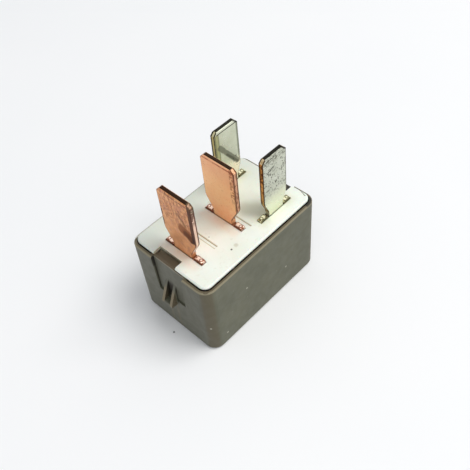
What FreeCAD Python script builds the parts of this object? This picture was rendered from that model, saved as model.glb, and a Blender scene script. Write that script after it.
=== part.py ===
import FreeCAD, Part
import math
import os

# Automotive relay, low case, four blades. Millimetres.
# Origin: centre of the case's closed end. +Z runs from the closed end to the blade tips.
# X is the long way of the case, and its -X end face carries the latch lug.

# Case
CASE_FLOOR = 1.0
CASE_WALL = 0.85
CASE_CORNER_R = 1.9
CASE_END_EDGE_R = 0.5
RIM_WALL = 0.5
RIM_BEVEL = 0.2

# Shallow recess in each end face. It gets narrower and shallower towards its foot, as its mould
# slide draws out, and the wall behind it rises as a tongue into a notch of the base.
# Heights of the recess and the lug are drops from the rim, because a socket meets the rim's end.
RECESS_WIDTH = 6.5
RECESS_DEPTH = 0.58
RECESS_DROP = 7.15
RECESS_FOOT_WIDTH = 5.6
RECESS_FOOT_DEPTH = 0.3
RECESS_RIB_WALL = 0.7
FAR_RECESS_Y = -0.5
TONGUE_WALL = 0.7
TONGUE_HEAD_GAP = 0.1

# Latch lug: two ribs with a pocket between them, joined at the foot
LUG_Y = 0.2
LUG_WIDTH = 2.2
LUG_RIB = 0.5
LUG_REACH = 1.15
LUG_TOP_DROP = 3.5
LUG_RAMP = 4.1
LUG_CREST_LAND = 0.35
LUG_UNDERCUT = 0.12
LUG_CREST_R = 0.15
LUG_POCKET_DEPTH = 0.25

# Base
BASE_GAP = 0.15
BASE_THICKNESS = 2.0
BASE_RISE = 0.6
BASE_BEVEL = 0.2
NOTCH_LENGTH = 4.6
NOTCH_DEPTH = 1.5
GROOVE_DEPTH = 0.12
LOAD_GROOVE_OFFSET = 3.25
LOAD_GROOVE_WIDTH = 0.5
LOAD_GROOVE_LENGTH = 6.0
COMMON_GROOVE_WIDTH = 0.92
COMMON_GROOVE_LENGTH = 8.3
LEG_LENGTH = 2.8
LEG_DROP = 2.4
LEG_WALL = 0.6
LEG_BACKING_GAP = 0.25
STOP_WIDTH = 0.9

# Blades
BLADE_THICKNESS = 0.8
BLADE_RISE = 11.65
BLADE_TIP_CUT = 0.7
BLADE_TIP_BEVEL = 0.22
TAPER_BLEND_R = 2.0
NECK_RISE = 1.1
RELIEF_WIDTH = 0.3
RELIEF_DROP = 0.1
FOOT_RISE = 0.42
FOOT_R = 0.3
CONTACT_BLADE_WIDTH = 6.3
CONTACT_NECK_WIDTH = 3.7
CONTACT_SHOULDER_WIDTH = 7.5
CONTACT_TAPER = 2.4
COIL_BLADE_WIDTH = 4.8
COIL_NECK_WIDTH = 3.16
COIL_SHOULDER_WIDTH = 6.7
COIL_TAPER = 1.85
SLOT_CLEARANCE = 0.03
COLLAR_WIDTH = 0.35
COLLAR_DROP = 0.9

# Blade layout, from the load blade along X, and about the blades' own middle line along Y
CONTACT_PITCH = 8.29
COIL_OFFSET = 5.96
COIL_SPACING = 9.28
TERMINAL_Y = -0.24

# Terminals below the base
LOAD_LEG_WIDTH = 4.6
LOAD_LEG_MARGIN = 0.25
LEG_CORNER_R = 0.4
ARM_DROP = 1.5
COMMON_LEG_WIDTH = 1.6
COMMON_LEG_CLEARANCE = 0.5
COMMON_LEG_WALL_GAP = 0.775
TENON_WIDTH = 0.9
COIL_LEG_WIDTH = 3.4
COIL_LEG_DROP = 2.9
HORN_WIDTH = 0.6
HORN_LENGTH = 1.3

# Coil
CORE_R = 1.7
CORE_TAIL_R = 1.25
CORE_HEAD_THICKNESS = 0.9
CORE_TAIL_HEAD_R = 1.8
CORE_TAIL_HEAD = 0.4
BOBBIN_TUBE_WALL = 0.5
BOBBIN_FLANGE = 0.8
BOBBIN_SIDE_LIP = 0.9
BOBBIN_UNDER_LIP = 0.2
BOBBIN_CORNER_R = 0.8
LEG_FLANGE_GAP = 0.37
FLANGE_COLLAR_GAP = 0.6
WINDING_DEPTH = 1.26
POLE_HEAD_LIP = 0.7
WIRE_R = 0.14
WRAP_R = 0.62
WRAP_LENGTH = 0.7
WRAP_BITE = 0.05
WRAP_TOP_GAP = 0.25

# Iron
YOKE_THICKNESS = 1.0
YOKE_SIDE_LIP = 0.2
YOKE_CLEARANCE = 0.9
YOKE_BEND_R = 0.3
YOKE_ABOVE_STAKE = 1.6
YOKE_TAB_MARGIN = 1.2
STAKE_CLEARANCE = 0.755
ARMATURE_THICKNESS = 1.0
ARMATURE_HALF_WIDTH = 3.9
ARMATURE_EAR = 1.2
ARMATURE_EAR_HEIGHT = 1.8
ARMATURE_CORNER_R = 0.3
ARMATURE_BOTTOM_RISE = 0.12
ARMATURE_TOP_GAP = 0.6
HINGE_GAP = 0.05
OPEN_ANGLE = 4.2

# Contacts and leaf
LEAF_THICKNESS = 0.15
LEAF_HALF_WIDTH = 2.5
LEAF_BULGE = 0.6
LEAF_BEND_R = 0.6
LEAF_BULGE_TOP = 1.3
LEAF_LAND = 1.9
LEAF_FOOT = 4.6
LEAF_END_MARGIN = 0.1
CONTACT_R = 1.25
CONTACT_HEIGHT = 0.3
CONTACT_SHANK_R = 0.6
CONTACT_TAIL_R = 0.9
CONTACT_TAIL = 0.18
CONTACT_OVER_POLE = 0.55
CONTACT_CASE_GAP = 0.54
RIVET_SHANK_R = 0.5
RIVET_HEAD_R = 0.85
RIVET_HEAD = 0.3
SPRING_RIVET_SPACING = 3.0
SPRING_RIVET_INSET = 1.3
ARMATURE_RIVET_SPACING = 2.8
ARMATURE_RIVET_RISE = 3.4
SEAT = 0.02

# How far a cutting shape reaches past the surface it opens
OVERCUT = 1.0

# Suppression resistor
RESISTOR_R = 0.9
RESISTOR_LENGTH = 4.6
RESISTOR_CAP_LENGTH = 0.9
RESISTOR_CAP_STEP = 0.08
RESISTOR_LEAD_R = 0.25
RESISTOR_LEAD_END = 0.5
RESISTOR_COIL_GAP = 0.7
RESISTOR_BASE_GAP = 0.4

# Each kind of blade: its width, its neck, its shoulder, and the height that it tapers over
CONTACT_BLADE = (CONTACT_BLADE_WIDTH, CONTACT_NECK_WIDTH, CONTACT_SHOULDER_WIDTH, CONTACT_TAPER)
COIL_BLADE = (COIL_BLADE_WIDTH, COIL_NECK_WIDTH, COIL_SHOULDER_WIDTH, COIL_TAPER)

# Radii of the coil, from the core out
CORE_HEAD_R = CORE_R + POLE_HEAD_LIP
TUBE_R = CORE_R + SEAT + BOBBIN_TUBE_WALL
WINDING_R = TUBE_R + SEAT + WINDING_DEPTH

# Heights, from the floor up: yoke, coil, resistor, base
HINGE_Z = CASE_FLOOR + YOKE_CLEARANCE
YOKE_TOP_Z = HINGE_Z + YOKE_THICKNESS
COIL_Z = YOKE_TOP_Z + YOKE_BEND_R + BOBBIN_UNDER_LIP + WINDING_R
RESISTOR_Z = COIL_Z + WINDING_R + RESISTOR_COIL_GAP + RESISTOR_R
LEDGE_Z = RESISTOR_Z + RESISTOR_R + RESISTOR_BASE_GAP
BASE_TOP_Z = LEDGE_Z + BASE_THICKNESS
CASE_HEIGHT = BASE_TOP_Z - BASE_RISE
BLADE_TOP_Z = BASE_TOP_Z + BLADE_RISE
RECESS_BOTTOM_Z = CASE_HEIGHT - RECESS_DROP
LOAD_LEG_BOTTOM_Z = COIL_Z + CORE_HEAD_R + CONTACT_OVER_POLE
CONTACT_Z = LOAD_LEG_BOTTOM_Z + LOAD_LEG_MARGIN + CONTACT_R
ARMATURE_TOP_Z = CONTACT_Z - CONTACT_R - ARMATURE_TOP_GAP

# Widths, from the coil out: bobbin, the common terminal's leg, case wall, base
BOBBIN_HALF_WIDTH = WINDING_R + BOBBIN_SIDE_LIP
YOKE_HALF_WIDTH = BOBBIN_HALF_WIDTH + YOKE_SIDE_LIP
COMMON_LEG_INNER_Y = -BOBBIN_HALF_WIDTH - COMMON_LEG_CLEARANCE
COMMON_LEG_OUTER_Y = COMMON_LEG_INNER_Y - COMMON_LEG_WIDTH
INNER_HALF_WIDTH = COMMON_LEG_WALL_GAP - COMMON_LEG_OUTER_Y
HALF_WIDTH = INNER_HALF_WIDTH + CASE_WALL
BASE_HALF_WIDTH = HALF_WIDTH - RIM_WALL - BASE_GAP
BASE_CORNER_R = CASE_CORNER_R - RIM_WALL - BASE_GAP

# Lengths, from the load blade: to the latch end past the open contact, to the far end past the yoke
OPEN_TRAVEL = (CONTACT_Z - HINGE_Z) * math.sin(math.radians(OPEN_ANGLE))
OPEN_REACH = 2 * CONTACT_HEIGHT + HINGE_GAP + LEAF_THICKNESS + CONTACT_TAIL + OPEN_TRAVEL
NEAR_TONGUE_REACH = BLADE_THICKNESS / 2 + OPEN_REACH + CONTACT_CASE_GAP
NEAR_REACH = NEAR_TONGUE_REACH + TONGUE_WALL + RECESS_DEPTH
FLANGE_REACH = CONTACT_PITCH + COIL_OFFSET + COIL_LEG_WIDTH / 2 + LEG_FLANGE_GAP
YOKE_REACH = FLANGE_REACH + BOBBIN_FLANGE + SEAT
STAKE_REACH = YOKE_REACH + YOKE_THICKNESS + CORE_TAIL_HEAD
FAR_REACH = STAKE_REACH + STAKE_CLEARANCE + TONGUE_WALL + RECESS_DEPTH
HALF_LENGTH = (NEAR_REACH + FAR_REACH) / 2
INNER_HALF_LENGTH = HALF_LENGTH - CASE_WALL
BASE_HALF_LENGTH = HALF_LENGTH - RIM_WALL - BASE_GAP
LOAD_X = NEAR_REACH - HALF_LENGTH
COMMON_X = LOAD_X + CONTACT_PITCH
COIL_X = COMMON_X + COIL_OFFSET
COIL_TERMINAL_Y = [TERMINAL_Y - COIL_SPACING / 2, TERMINAL_Y + COIL_SPACING / 2]
FLANGE_TOP_Y = COIL_TERMINAL_Y[1] - BLADE_THICKNESS / 2 - FLANGE_COLLAR_GAP
RECESS_X = RECESS_DEPTH - HALF_LENGTH
NOTCH_X = BASE_HALF_LENGTH - NOTCH_DEPTH
TONGUE_HALF_WIDTH = RECESS_WIDTH / 2 + RIM_WALL
BACKING_HALF_WIDTH = RECESS_WIDTH / 2 + RECESS_RIB_WALL
TONGUE_X = HALF_LENGTH - RECESS_DEPTH - TONGUE_WALL
LOAD_FACE_X = LOAD_X - BLADE_THICKNESS / 2
POLE_X = LOAD_FACE_X - 2 * CONTACT_HEIGHT + ARMATURE_THICKNESS
HINGE_X = POLE_X
BOBBIN_X = POLE_X + CORE_HEAD_THICKNESS + SEAT
WINDING_X = BOBBIN_X + BOBBIN_FLANGE
WINDING_END_X = LOAD_X + FLANGE_REACH
BOBBIN_END_X = WINDING_END_X + BOBBIN_FLANGE
YOKE_BACK_X = LOAD_X + YOKE_REACH


def vec(x, y, z):
    """A point or direction."""
    return FreeCAD.Vector(x, y, z)


def block(x0, x1, y0, y1, z0, z1):
    """A box between two corners."""
    return Part.makeBox(x1 - x0, y1 - y0, z1 - z0, vec(x0, y0, z0))


def rod(radius, start, end):
    """A round rod between two points."""
    along = end - start
    return Part.makeCylinder(radius, along.Length, start, along)


def drill(radius, start, end):
    """A round cutter for a hole between two points. It runs past both."""
    reach = (end - start).normalize() * OVERCUT
    return rod(radius, start - reach, end + reach)


def upright_edges(shape):
    """The edges of a box that run along Z."""
    chosen = []
    for edge in shape.Edges:
        ends = edge.Vertexes
        if len(ends) == 2 and abs(ends[0].Z - ends[1].Z) > 0.5 * shape.BoundBox.ZLength:
            chosen.append(edge)
    return chosen


def level_edges(shape, z):
    """The edges that lie in one level plane."""
    return [e for e in shape.Edges if abs(e.BoundBox.ZMin - z) < 1e-6 and abs(e.BoundBox.ZMax - z) < 1e-6]


def round_box(half_length, half_width, z0, z1, radius):
    """A box centred on the Z axis, with round upright corners."""
    box = block(-half_length, half_length, -half_width, half_width, z0, z1)
    return box.makeFillet(radius, upright_edges(box))


def fuse_all(shapes):
    """One solid from touching shapes, with no seams left between them."""
    joined = shapes[0].multiFuse(shapes[1:]) if len(shapes) > 1 else shapes[0]
    return joined.removeSplitter()


def round_outline(corners, place):
    """A closed face. Each corner is (u, v, radius), and place puts (u, v) into space."""
    count = len(corners)
    starts = []
    arcs = []
    for i in range(count):
        before = FreeCAD.Vector(corners[i - 1][0], corners[i - 1][1], 0)
        here = FreeCAD.Vector(corners[i][0], corners[i][1], 0)
        after = FreeCAD.Vector(corners[(i + 1) % count][0], corners[(i + 1) % count][1], 0)
        radius = corners[i][2]
        if radius == 0:
            starts.append((here, here))
            arcs.append(None)
            continue
        to_before = (before - here).normalize()
        to_after = (after - here).normalize()
        half_angle = to_before.getAngle(to_after) / 2
        reach = radius / math.tan(half_angle)
        bisector = (to_before + to_after).normalize()
        middle = here + bisector * (radius / math.sin(half_angle) - radius)
        first = here + to_before * reach
        last = here + to_after * reach
        starts.append((first, last))
        arc = Part.Arc(place(first.x, first.y), place(middle.x, middle.y), place(last.x, last.y))
        arcs.append(arc.toShape())
    edges = []
    for i in range(count):
        if arcs[i] is not None:
            edges.append(arcs[i])
        leave = starts[i][1]
        arrive = starts[(i + 1) % count][0]
        if (arrive - leave).Length > 1e-6:
            edges.append(Part.makeLine(place(leave.x, leave.y), place(arrive.x, arrive.y)))
    return Part.Face(Part.Wire(edges))


def in_cross_plane(x):
    """Places (u, v) in the plane at x, with u along Y and v along Z."""
    return lambda u, v: vec(x, u, v)


def in_long_plane(y):
    """Places (u, v) in the plane at y, with u along X and v along Z."""
    return lambda u, v: vec(u, y, v)


# Case


def recess_y(side):
    """Middle of an end face's recess: side -1 is the latch end, side 1 the far end."""
    return FAR_RECESS_Y if side > 0 else 0


def case_recess(side):
    """The cutter for one end face's recess. Before it is placed, X runs into the wall and Y up it."""
    height = CASE_HEIGHT + OVERCUT - RECESS_BOTTOM_Z
    rise = height / RECESS_DROP
    foot_half = RECESS_FOOT_WIDTH / 2
    mouth_half = foot_half + (RECESS_WIDTH - RECESS_FOOT_WIDTH) / 2 * rise
    mouth_depth = RECESS_FOOT_DEPTH + (RECESS_DEPTH - RECESS_FOOT_DEPTH) * rise
    cutter = Part.makeWedge(-OVERCUT, 0, -foot_half, -mouth_half, -OVERCUT,
                            RECESS_FOOT_DEPTH, height, foot_half, mouth_half, mouth_depth)
    cutter.rotate(vec(0, 0, 0), vec(1, 0, 0), 90)
    if side > 0:
        cutter.rotate(vec(0, 0, 0), vec(0, 0, 1), 180)
    cutter.translate(vec(side * HALF_LENGTH, recess_y(side), RECESS_BOTTOM_Z))
    return cutter


def case_lug():
    """The wedge that latches the relay: it grows away from the blades, and its middle is cored out."""
    crest_x = -HALF_LENGTH - LUG_REACH
    root_x = RECESS_X + TONGUE_WALL / 2
    top_z = CASE_HEIGHT - LUG_TOP_DROP
    crest_z = top_z - LUG_RAMP
    foot_z = crest_z - LUG_CREST_LAND - LUG_UNDERCUT
    profile = [
        (root_x, top_z, 0),
        (RECESS_X, top_z, 0),
        (crest_x, crest_z, LUG_CREST_R),
        (crest_x, crest_z - LUG_CREST_LAND, LUG_CREST_R),
        (-HALF_LENGTH, foot_z, 0),
        (root_x, foot_z, 0),
    ]
    wedge = round_outline(profile, in_long_plane(LUG_Y - LUG_WIDTH / 2)).extrude(vec(0, LUG_WIDTH, 0))
    pocket_half = LUG_WIDTH / 2 - LUG_RIB
    pocket_z = RECESS_BOTTOM_Z - LUG_POCKET_DEPTH
    pocket = block(crest_x - OVERCUT, RECESS_X, LUG_Y - pocket_half, LUG_Y + pocket_half,
                   pocket_z, top_z + OVERCUT)
    return wedge.cut(pocket)


def case_tongue(side):
    """The end wall's stretch behind a recess, risen to the rim, with a head that fills the notch."""
    y = recess_y(side)
    inner = side * TONGUE_X
    outer = side * (HALF_LENGTH - RIM_WALL)
    ramp = TONGUE_X - NOTCH_X - TONGUE_HEAD_GAP
    wall = block(min(inner, outer), max(inner, outer), y - TONGUE_HALF_WIDTH, y + TONGUE_HALF_WIDTH,
                 CASE_FLOOR, CASE_HEIGHT)
    outer = side * INNER_HALF_LENGTH
    backing = block(min(inner, outer), max(inner, outer), y - BACKING_HALF_WIDTH, y + BACKING_HALF_WIDTH,
                    CASE_FLOOR, LEDGE_Z)
    head_x = side * (NOTCH_X + TONGUE_HEAD_GAP)
    root_x = side * (TONGUE_X + TONGUE_WALL / 2)
    profile = [
        (root_x, LEDGE_Z - ramp, 0),
        (inner, LEDGE_Z, 0),
        (head_x, LEDGE_Z + ramp, 0),
        (head_x, CASE_HEIGHT, 0),
        (root_x, CASE_HEIGHT, 0),
    ]
    length = NOTCH_LENGTH - 2 * BASE_GAP
    head = round_outline(profile, in_long_plane(notch_y(side) - length / 2)).extrude(vec(0, length, 0))
    return [wall, backing, head]


def make_case():
    """Box with one open end, a seat for the base inside the rim, two recesses and the lug."""
    outer = round_box(HALF_LENGTH, HALF_WIDTH, 0, CASE_HEIGHT, CASE_CORNER_R)
    outer = outer.makeFillet(CASE_END_EDGE_R, level_edges(outer, 0))
    outer = outer.makeChamfer(RIM_BEVEL, level_edges(outer, CASE_HEIGHT))
    inner_r = CASE_CORNER_R - CASE_WALL
    cavity = round_box(INNER_HALF_LENGTH, INNER_HALF_WIDTH, CASE_FLOOR, CASE_HEIGHT + OVERCUT, inner_r)
    seat_r = CASE_CORNER_R - RIM_WALL
    seat = round_box(HALF_LENGTH - RIM_WALL, HALF_WIDTH - RIM_WALL, LEDGE_Z, CASE_HEIGHT + OVERCUT, seat_r)
    body = fuse_all([outer.cut(cavity).cut(seat)] + case_tongue(-1) + case_tongue(1))
    for side in (-1, 1):
        body = body.cut(case_recess(side))
    return fuse_all([body, case_lug()])


# Base


def notch_y(side):
    """Middle of a notch: its outer end lines up with the recess, half a turn from the other's."""
    return recess_y(side) - side * (RECESS_WIDTH - NOTCH_LENGTH) / 2


def base_notches():
    """The two open notches, and the pockets that let the wide tongues run under the top skin."""
    cuts = []
    pocket_half = TONGUE_HALF_WIDTH + BASE_GAP
    for side in (-1, 1):
        inner = side * NOTCH_X
        outer = side * (BASE_HALF_LENGTH + OVERCUT)
        x0 = min(inner, outer)
        x1 = max(inner, outer)
        y = notch_y(side)
        cuts.append(block(x0, x1, y - NOTCH_LENGTH / 2, y + NOTCH_LENGTH / 2,
                          LEDGE_Z - OVERCUT, BASE_TOP_Z + OVERCUT))
        y = recess_y(side)
        cuts.append(block(x0, x1, y - pocket_half, y + pocket_half, LEDGE_Z - OVERCUT, CASE_HEIGHT + SEAT))
    return cuts


def base_slots():
    """Slots for the four shoulders."""
    half_thick = BLADE_THICKNESS / 2 + SLOT_CLEARANCE
    half_wide = CONTACT_SHOULDER_WIDTH / 2 + SLOT_CLEARANCE
    cuts = []
    for x in (LOAD_X, COMMON_X):
        cuts.append(block(x - half_thick, x + half_thick, TERMINAL_Y - half_wide, TERMINAL_Y + half_wide,
                          LEDGE_Z - OVERCUT, BASE_TOP_Z + OVERCUT))
    half_wide = COIL_SHOULDER_WIDTH / 2 + SLOT_CLEARANCE
    for y in COIL_TERMINAL_Y:
        cuts.append(block(COIL_X - half_wide, COIL_X + half_wide, y - half_thick, y + half_thick,
                          LEDGE_Z - OVERCUT, BASE_TOP_Z + OVERCUT))
    return cuts


def base_grooves():
    """A shallow groove beside the load blade, and one along the back of the common blade."""
    starts = (LOAD_X + LOAD_GROOVE_OFFSET - LOAD_GROOVE_WIDTH / 2, COMMON_X + BLADE_THICKNESS / 2)
    widths = (LOAD_GROOVE_WIDTH, COMMON_GROOVE_WIDTH)
    lengths = (LOAD_GROOVE_LENGTH, COMMON_GROOVE_LENGTH)
    cuts = []
    for x, width, length in zip(starts, widths, lengths):
        cuts.append(block(x, x + width, TERMINAL_Y - length / 2, TERMINAL_Y + length / 2,
                          BASE_TOP_Z - GROOVE_DEPTH, BASE_TOP_Z + OVERCUT))
    return cuts


def base_corner_leg(side_x, side_y):
    """An L-shaped leg under one corner, which centres the base in the case."""
    reach_x = INNER_HALF_LENGTH - BASE_GAP
    reach_y = INNER_HALF_WIDTH - BASE_GAP
    leg = round_box(reach_x, reach_y, LEDGE_Z - LEG_DROP, LEDGE_Z, CASE_CORNER_R - CASE_WALL)
    hollow_r = CASE_CORNER_R - CASE_WALL - LEG_WALL
    leg = leg.cut(round_box(reach_x - LEG_WALL, reach_y - LEG_WALL, LEDGE_Z - LEG_DROP - OVERCUT,
                            LEDGE_Z + OVERCUT, hollow_r))
    near_x = side_x * (reach_x - LEG_LENGTH)
    far_x = side_x * (reach_x + OVERCUT)
    near_y = side_y * (BACKING_HALF_WIDTH + abs(recess_y(side_x)) + LEG_BACKING_GAP)
    far_y = side_y * (reach_y + OVERCUT)
    keep = block(min(near_x, far_x), max(near_x, far_x), min(near_y, far_y), max(near_y, far_y),
                 LEDGE_Z - LEG_DROP, LEDGE_Z)
    return leg.common(keep)


def base_stop(side_y):
    """A prong that hangs from the base and stops an ear of the armature when the coil is off."""
    lean = math.radians(OPEN_ANGLE)
    ear_mid_z = ARMATURE_TOP_Z - ARMATURE_EAR_HEIGHT / 2
    depth = ARMATURE_THICKNESS + HINGE_GAP
    back_x = HINGE_X - depth * math.cos(lean) - (ARMATURE_TOP_Z - HINGE_Z) * math.sin(lean) - SEAT
    outer_y = ARMATURE_HALF_WIDTH + ARMATURE_EAR
    ends = sorted([side_y * outer_y, side_y * (outer_y - STOP_WIDTH)])
    return block(BASE_GAP - TONGUE_X, back_x, ends[0], ends[1], ear_mid_z, LEDGE_Z)


def make_base():
    """The plate that closes the case and carries the terminals."""
    plate = round_box(BASE_HALF_LENGTH, BASE_HALF_WIDTH, LEDGE_Z, BASE_TOP_Z, BASE_CORNER_R)
    plate = plate.makeChamfer(BASE_BEVEL, level_edges(plate, BASE_TOP_Z))
    under = [base_corner_leg(sx, sy) for sx in (-1, 1) for sy in (-1, 1)]
    under += [base_stop(sy) for sy in (-1, 1)]
    solid = fuse_all([plate] + under)
    for cut in base_notches() + base_slots() + base_grooves():
        solid = solid.cut(cut)
    return solid.removeSplitter()


# Terminals


def blade_half(kind, side):
    """Outline corners of one side of a blade, from the tip down to the base's underside.

    The shoulder shows above the base as a low round foot, parted from the neck by a relief cut.
    """
    width, neck, shoulder, taper = kind
    taper_bottom = BASE_TOP_Z + NECK_RISE
    taper_top = taper_bottom + taper
    relief_z = BASE_TOP_Z - RELIEF_DROP
    foot_z = BASE_TOP_Z + FOOT_RISE
    foot_start = neck / 2 + RELIEF_WIDTH
    return [
        (side * (width / 2 - BLADE_TIP_CUT), BLADE_TOP_Z, 0),
        (side * width / 2, BLADE_TOP_Z - BLADE_TIP_CUT, 0),
        (side * width / 2, taper_top, TAPER_BLEND_R),
        (side * neck / 2, taper_bottom, TAPER_BLEND_R / 2),
        (side * neck / 2, relief_z, 0),
        (side * foot_start, relief_z, 0),
        (side * foot_start, foot_z, FOOT_R),
        (side * shoulder / 2, foot_z, FOOT_R),
        (side * shoulder / 2, LEDGE_Z, 0),
    ]


def collar_half(shoulder, leg, side):
    """The wider collar under the base, down to the start of the leg."""
    collar = shoulder / 2 + COLLAR_WIDTH
    return [
        (side * collar, LEDGE_Z, 0),
        (side * collar, LEDGE_Z - COLLAR_DROP, 0),
        (side * leg / 2, LEDGE_Z - COLLAR_DROP, 0),
    ]


def cut_blade(corners, place, across):
    """The outline pressed from strip, with the tip bevelled on both faces."""
    blade = round_outline(corners, place).extrude(across)
    tip_edges = []
    for edge in level_edges(blade, BLADE_TOP_Z):
        along = edge.Vertexes[1].Point - edge.Vertexes[0].Point
        if abs(along.dot(across)) < 1e-6:
            tip_edges.append(edge)
    return blade.makeChamfer(BLADE_TIP_BEVEL, tip_edges)


def shifted(corners, offset):
    """The same outline, moved along u."""
    return [(u + offset, v, r) for u, v, r in corners]


def make_load_terminal():
    """Copper blade at the latch end; its leg holds the fixed contact."""
    sides = []
    for side in (1, -1):
        half = blade_half(CONTACT_BLADE, side)
        half += collar_half(CONTACT_SHOULDER_WIDTH, LOAD_LEG_WIDTH, side)
        half.append((side * LOAD_LEG_WIDTH / 2, LOAD_LEG_BOTTOM_Z, LEG_CORNER_R))
        sides.append(half)
    corners = shifted(sides[0] + sides[1][::-1], TERMINAL_Y)
    blade = cut_blade(corners, in_cross_plane(LOAD_FACE_X), vec(BLADE_THICKNESS, 0, 0))
    hole = drill(CONTACT_SHANK_R, vec(LOAD_FACE_X, 0, CONTACT_Z), vec(LOAD_X, 0, CONTACT_Z))
    return blade.cut(hole)


def tenon_y():
    """Middle of the common terminal's leg, and of the tenon staked in the yoke."""
    return (COMMON_LEG_OUTER_Y + COMMON_LEG_INNER_Y) / 2


def make_common_terminal():
    """Middle copper blade; an arm and a leg carry the current down to the yoke."""
    outer_y = COMMON_LEG_OUTER_Y
    inner_y = COMMON_LEG_INNER_Y
    collar = CONTACT_SHOULDER_WIDTH / 2 + COLLAR_WIDTH
    middle_y = tenon_y()
    arm_z = LEDGE_Z - ARM_DROP
    corners = shifted(blade_half(CONTACT_BLADE, 1), TERMINAL_Y)
    corners += [
        (TERMINAL_Y + collar, LEDGE_Z, 0),
        (TERMINAL_Y + collar, arm_z, LEG_CORNER_R),
        (inner_y, arm_z, LEG_CORNER_R),
        (inner_y, YOKE_TOP_Z, 0),
        (middle_y + TENON_WIDTH / 2, YOKE_TOP_Z, 0),
        (middle_y + TENON_WIDTH / 2, HINGE_Z, 0),
        (middle_y - TENON_WIDTH / 2, HINGE_Z, 0),
        (middle_y - TENON_WIDTH / 2, YOKE_TOP_Z, 0),
        (outer_y, YOKE_TOP_Z, 0),
        (outer_y, LEDGE_Z, LEG_CORNER_R),
    ]
    corners += shifted(blade_half(CONTACT_BLADE, -1), TERMINAL_Y)[::-1]
    face_x = COMMON_X - BLADE_THICKNESS / 2
    return cut_blade(corners, in_cross_plane(face_x), vec(BLADE_THICKNESS, 0, 0))


def horn_x():
    """Middle of the horn that the coil's wire end is wrapped on."""
    return COIL_X - COIL_LEG_WIDTH / 2 + HORN_WIDTH / 2


def coil_leg_bottom():
    """Where a coil terminal's leg ends and its horn starts."""
    return LEDGE_Z - COIL_LEG_DROP


def make_coil_terminal(y):
    """Tinned blade; its leg holds a resistor lead and ends in a horn for the coil wire."""
    bottom = coil_leg_bottom()
    leg = COIL_LEG_WIDTH
    plus = shifted(blade_half(COIL_BLADE, 1) + collar_half(COIL_SHOULDER_WIDTH, leg, 1), COIL_X)
    minus = shifted(blade_half(COIL_BLADE, -1) + collar_half(COIL_SHOULDER_WIDTH, leg, -1), COIL_X)
    tail = [
        (COIL_X + leg / 2, bottom, LEG_CORNER_R),
        (horn_x() + HORN_WIDTH / 2, bottom, 0),
        (horn_x() + HORN_WIDTH / 2, bottom - HORN_LENGTH, 0),
        (horn_x() - HORN_WIDTH / 2, bottom - HORN_LENGTH, 0),
    ]
    corners = plus + tail + minus[::-1]
    half = BLADE_THICKNESS / 2
    blade = cut_blade(corners, in_long_plane(y - half), vec(0, 2 * half, 0))
    hole = drill(RESISTOR_LEAD_R + SEAT, vec(COIL_X, y - half, RESISTOR_Z), vec(COIL_X, y + half, RESISTOR_Z))
    return blade.cut(hole)


# Coil and iron


def make_bobbin():
    """Moulded former: a tube and two flanges that reach up to the base."""
    top = LEDGE_Z - SEAT
    bottom = YOKE_TOP_Z + YOKE_BEND_R + SEAT
    half = BOBBIN_HALF_WIDTH
    shapes = [rod(TUBE_R, vec(BOBBIN_X, 0, COIL_Z), vec(BOBBIN_END_X, 0, COIL_Z))]
    corners = [
        (-half, bottom, BOBBIN_CORNER_R / 2),
        (half, bottom, BOBBIN_CORNER_R / 2),
        (half, COIL_Z + WINDING_R, BOBBIN_CORNER_R),
        (FLANGE_TOP_Y, LEDGE_Z - COLLAR_DROP - BOBBIN_CORNER_R, BOBBIN_CORNER_R),
        (FLANGE_TOP_Y, top, 0),
        (-FLANGE_TOP_Y, top, 0),
        (-FLANGE_TOP_Y, LEDGE_Z - COLLAR_DROP - BOBBIN_CORNER_R, BOBBIN_CORNER_R),
        (-half, COIL_Z + WINDING_R, BOBBIN_CORNER_R),
    ]
    for x in (BOBBIN_X, WINDING_END_X):
        shapes.append(round_outline(corners, in_cross_plane(x)).extrude(vec(BOBBIN_FLANGE, 0, 0)))
    bore = drill(CORE_R + SEAT, vec(BOBBIN_X, 0, COIL_Z), vec(BOBBIN_END_X, 0, COIL_Z))
    return fuse_all(shapes).cut(bore)


def wire_end(y):
    """The wire's run from the winding to a horn, and the turns wrapped on it."""
    x = horn_x()
    wrap_top = coil_leg_bottom() - WRAP_TOP_GAP
    wrap_z = wrap_top - WRAP_LENGTH / 2
    side = vec(0, y, wrap_z - COIL_Z)
    outward = vec(0, side.y / side.Length, side.z / side.Length)
    axis_point = vec(x, 0, COIL_Z)
    start = axis_point + outward * (WINDING_R - WIRE_R)
    end = axis_point + outward * (side.Length - WRAP_R + WRAP_BITE)
    wrap = rod(WRAP_R, vec(x, y, wrap_z - WRAP_LENGTH / 2), vec(x, y, wrap_z + WRAP_LENGTH / 2))
    hole_x = HORN_WIDTH / 2 + SEAT
    hole_y = BLADE_THICKNESS / 2 + SEAT
    hole = block(x - hole_x, x + hole_x, y - hole_y, y + hole_y, wrap_z - WRAP_LENGTH, wrap_z + WRAP_LENGTH)
    return [rod(WIRE_R, start, end), wrap.cut(hole)]


def make_coil_winding():
    """The wound wire as one ring, with its two ends led out to the coil terminals."""
    x0 = WINDING_X + SEAT
    x1 = WINDING_END_X - SEAT
    ring = rod(WINDING_R, vec(x0, 0, COIL_Z), vec(x1, 0, COIL_Z))
    shapes = [ring]
    for y in COIL_TERMINAL_Y:
        shapes += wire_end(y)
    return fuse_all(shapes).cut(drill(TUBE_R + SEAT, vec(x0, 0, COIL_Z), vec(x1, 0, COIL_Z)))


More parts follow.
